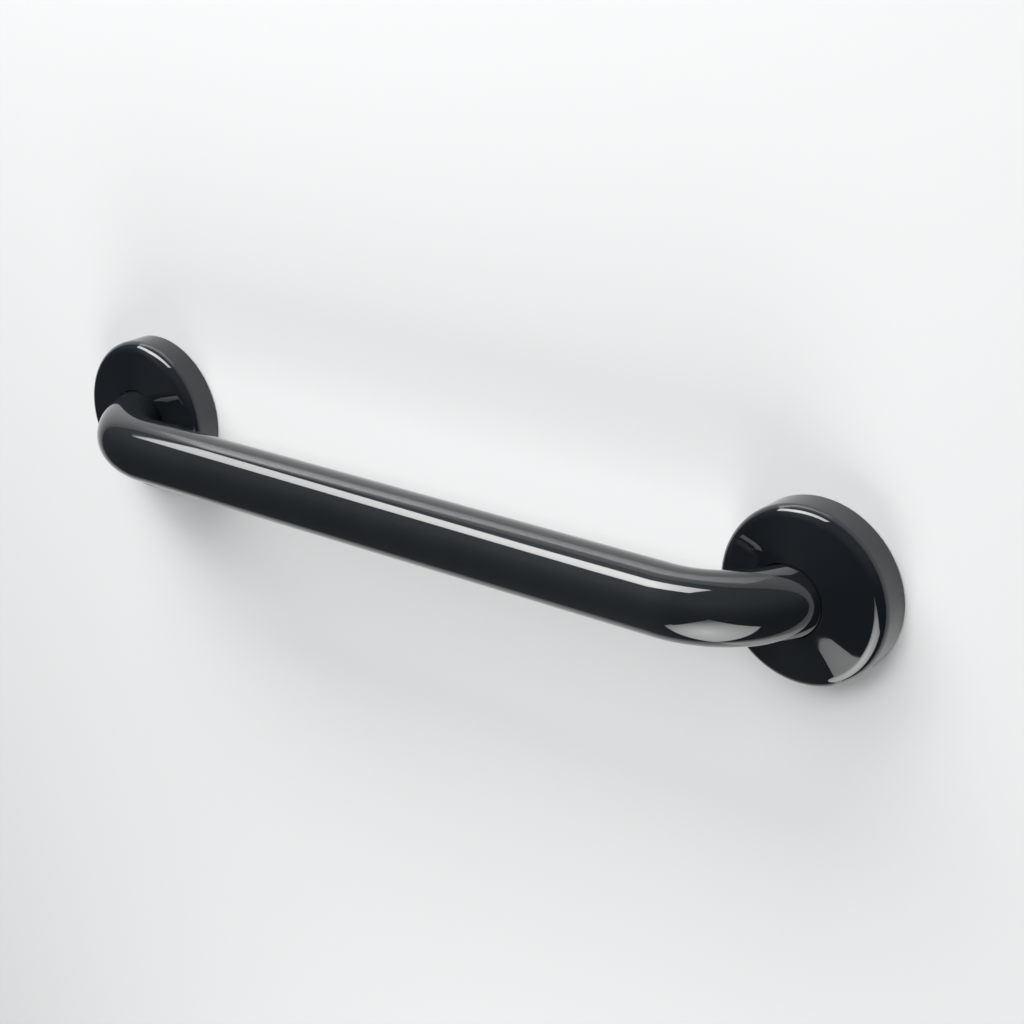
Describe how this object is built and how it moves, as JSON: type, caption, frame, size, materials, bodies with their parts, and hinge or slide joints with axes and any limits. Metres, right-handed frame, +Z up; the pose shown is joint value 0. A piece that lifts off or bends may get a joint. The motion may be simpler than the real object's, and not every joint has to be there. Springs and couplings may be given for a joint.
{
  "type": "grab bar",
  "caption": "Short wall grab bar: a round tube bent into legs that end in round cone-faced roses over hidden screw flanges.",
  "frame": {"origin": "on the wall plane, midway between the centres of the wall flanges", "axes": "+X along the bar, +Y into the wall with the bar standing off towards -Y, +Z up"},
  "size_m": [0.48, 0.0659, 0.08],
  "materials": {
    "bar_finish": "gloss black lacquer on steel tube",
    "cover_finish": "gloss black lacquer on moulded plastic",
    "flange_steel": "zinc plated"
  },
  "bodies": {
    "root": {"bar_tube": "bar_finish", "left_cover": "cover_finish", "right_cover": "cover_finish", "left_flange": "flange_steel", "right_flange": "flange_steel"}
  },
  "joints": []
}
